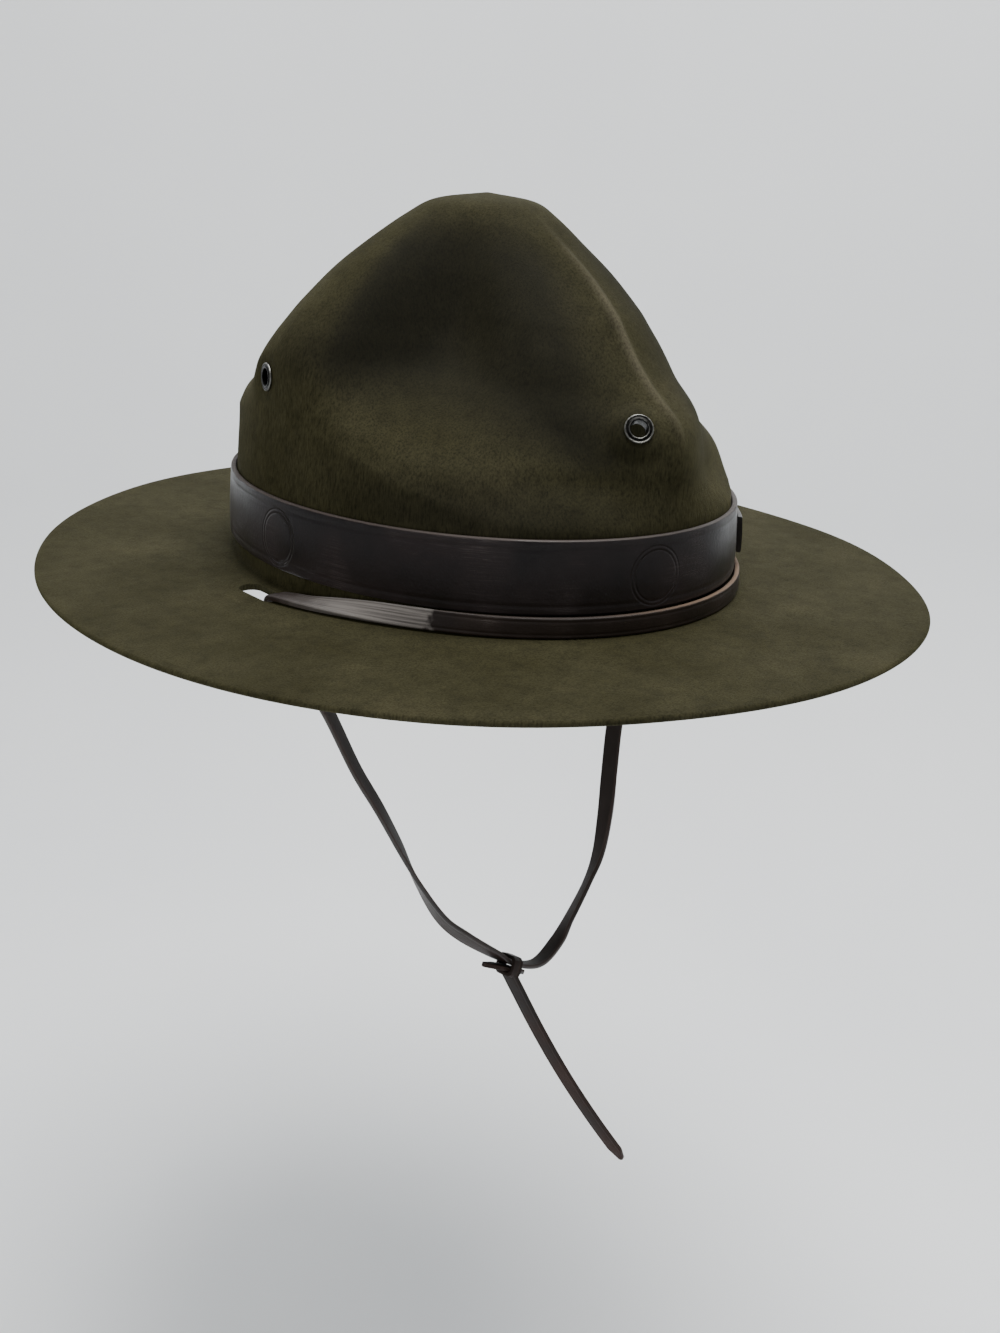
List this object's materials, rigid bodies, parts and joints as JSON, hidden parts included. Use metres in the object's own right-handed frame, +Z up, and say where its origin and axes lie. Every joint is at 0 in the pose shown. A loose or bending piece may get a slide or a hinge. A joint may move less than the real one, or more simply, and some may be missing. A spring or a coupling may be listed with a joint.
{
  "type": "campaign hat",
  "caption": "Felt campaign hat with a peaked, dented crown, flat stiff brim, leather band, vent eyelets and a leather chin strap tied under the chin.",
  "frame": {"origin": "middle of the head opening, on the brim's mid-plane", "axes": "+Z up through the crown, -Y to the wearer's front, +X to the wearer's left"},
  "size_m": [0.3246, 0.3578, 0.3941],
  "materials": {
    "felt": "stiffened wool or fur felt, short nap",
    "band_leather": "dark brown, nearly black, worn shine",
    "strap_leather": "dark reddish brown, rubbed edges",
    "eyelet_metal": "dull grey metal"
  },
  "bodies": {
    "root": {"felt_body": "felt", "hat_band": "band_leather", "band_keeper": "band_leather", "eyelet_front": "eyelet_metal", "eyelet_right": "eyelet_metal", "eyelet_back": "eyelet_metal", "eyelet_left": "eyelet_metal", "chin_strap": "strap_leather", "strap_end": "strap_leather", "strap_knot": "strap_leather", "strap_tail": "strap_leather"}
  },
  "joints": []
}
